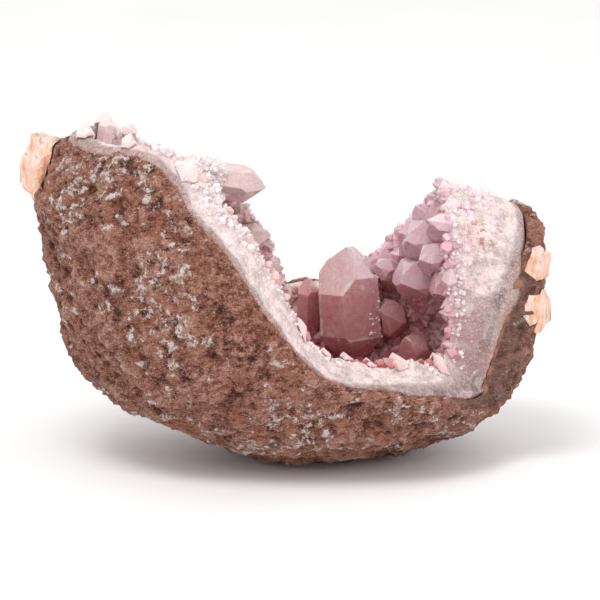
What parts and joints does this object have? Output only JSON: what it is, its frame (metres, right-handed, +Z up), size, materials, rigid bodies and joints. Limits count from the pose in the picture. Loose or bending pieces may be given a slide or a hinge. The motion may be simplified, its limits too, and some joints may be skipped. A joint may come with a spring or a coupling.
{
  "type": "amethyst geode",
  "caption": "Broken half-bowl of brown volcanic rock lined with pale quartz and pink-violet amethyst crystals, resting on its rounded underside.",
  "frame": {"origin": "middle of the geode's box, on the surface it rests on", "axes": "+X to the right and +Y to the back, seen with the low broken lip in front; +Z up"},
  "size_m": [0.0998, 0.068, 0.0649],
  "materials": {
    "rock": "rough granular reddish-brown volcanic rock with chalky white specks",
    "quartz": "broken banded quartz, grey-violet chalcedony next to the rock, then sugary white",
    "pink_amethyst": "glassy translucent pink crystal faces",
    "violet_amethyst": "glassy translucent pink-violet crystal faces",
    "feldspar": "satin orange-peach mineral"
  },
  "bodies": {
    "root": {"rock_rind": "rock", "quartz_lining": "quartz", "block_crystal": "pink_amethyst", "column_crystal": "pink_amethyst", "back_left_point": "pink_amethyst", "back_left_crystal_1": "pink_amethyst", "back_left_crystal_2": "pink_amethyst", "deep_crystal_1": "pink_amethyst", "deep_crystal_2": "pink_amethyst", "deep_crystal_3": "pink_amethyst", "rear_crystal_1": "violet_amethyst", "rear_crystal_2": "violet_amethyst", "violet_crystal_1": "violet_amethyst", "violet_crystal_2": "violet_amethyst", "violet_crystal_3": "violet_amethyst", "violet_crystal_4": "violet_amethyst", "violet_crystal_5": "violet_amethyst", "violet_crystal_6": "violet_amethyst", "violet_crystal_7": "violet_amethyst", "violet_crystal_8": "violet_amethyst", "rim_crystal_1": "pink_amethyst", "rim_crystal_2": "pink_amethyst", "rim_crystal_3": "pink_amethyst", "rim_crystal_4": "pink_amethyst", "lip_crystal_1": "pink_amethyst", "lip_crystal_2": "pink_amethyst", "lip_crystal_3": "pink_amethyst", "lip_crystal_4": "pink_amethyst", "lip_crystal_5": "pink_amethyst", "lip_crystal_6": "pink_amethyst", "cavity_crystal_1": "pink_amethyst", "cavity_crystal_2": "pink_amethyst", "cavity_crystal_3": "pink_amethyst", "cavity_crystal_4": "pink_amethyst", "cavity_crystal_5": "pink_amethyst", "cavity_crystal_6": "pink_amethyst", "cavity_crystal_7": "pink_amethyst", "cavity_crystal_8": "pink_amethyst", "cavity_crystal_9": "pink_amethyst", "cavity_crystal_10": "pink_amethyst", "cavity_crystal_11": "pink_amethyst", "cavity_crystal_12": "pink_amethyst", "left_feldspar": "feldspar", "right_feldspar_low": "feldspar", "right_feldspar_high": "feldspar"}
  },
  "joints": []
}
